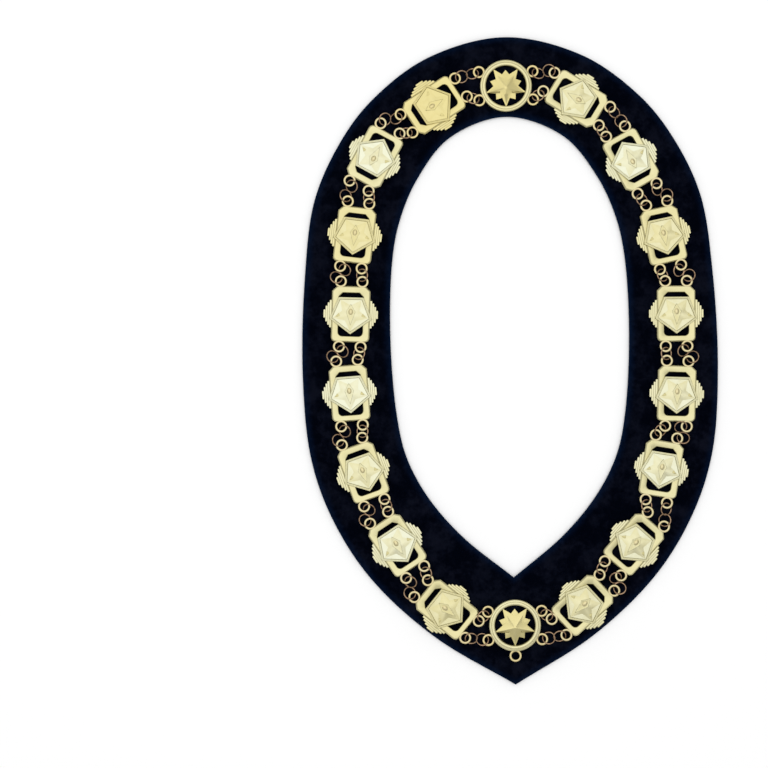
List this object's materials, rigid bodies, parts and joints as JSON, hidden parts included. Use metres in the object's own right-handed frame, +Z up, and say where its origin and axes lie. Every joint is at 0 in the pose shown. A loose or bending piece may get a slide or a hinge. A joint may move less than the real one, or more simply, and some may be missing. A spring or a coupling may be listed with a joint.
{
  "type": "chain of office on a velvet collar",
  "caption": "Gilt plaques and star medallions joined by two strands of jump rings on a pointed oval velvet collar.",
  "frame": {"origin": "on the surface that the collar lies on, under the middle of the collar", "axes": "+X across the wearer to the right as seen from above, +Y towards the neck at the back, +Z up through the plaques"},
  "size_m": [0.2932, 0.457, 0.0082],
  "materials": {
    "velvet": "dark navy short-pile velvet, matt with a soft blue sheen",
    "gilt": "pale bright gilding on cast metal, lightly satin",
    "link": "coppery gilt wire"
  },
  "bodies": {
    "root": {"velvet_backing": "velvet", "medallion_top": "gilt", "medallion_bottom": "gilt", "plaque_left_1": "gilt", "plaque_left_2": "gilt", "plaque_left_3": "gilt", "plaque_left_4": "gilt", "plaque_left_5": "gilt", "plaque_left_6": "gilt", "plaque_left_7": "gilt", "plaque_left_8": "gilt", "plaque_right_1": "gilt", "plaque_right_2": "gilt", "plaque_right_3": "gilt", "plaque_right_4": "gilt", "plaque_right_5": "gilt", "plaque_right_6": "gilt", "plaque_right_7": "gilt", "plaque_right_8": "gilt", "links_outer_left_1": "link", "links_outer_left_2": "link", "links_outer_left_3": "link", "links_outer_left_4": "link", "links_outer_left_5": "link", "links_outer_left_6": "link", "links_outer_left_7": "link", "links_outer_left_8": "link", "links_outer_left_9": "link", "links_inner_left_1": "link", "links_inner_left_2": "link", "links_inner_left_3": "link", "links_inner_left_4": "link", "links_inner_left_5": "link", "links_inner_left_6": "link", "links_inner_left_7": "link", "links_inner_left_8": "link", "links_inner_left_9": "link", "links_outer_right_1": "link", "links_outer_right_2": "link", "links_outer_right_3": "link", "links_outer_right_4": "link", "links_outer_right_5": "link", "links_outer_right_6": "link", "links_outer_right_7": "link", "links_outer_right_8": "link", "links_outer_right_9": "link", "links_inner_right_1": "link", "links_inner_right_2": "link", "links_inner_right_3": "link", "links_inner_right_4": "link", "links_inner_right_5": "link", "links_inner_right_6": "link", "links_inner_right_7": "link", "links_inner_right_8": "link", "links_inner_right_9": "link"}
  },
  "joints": []
}
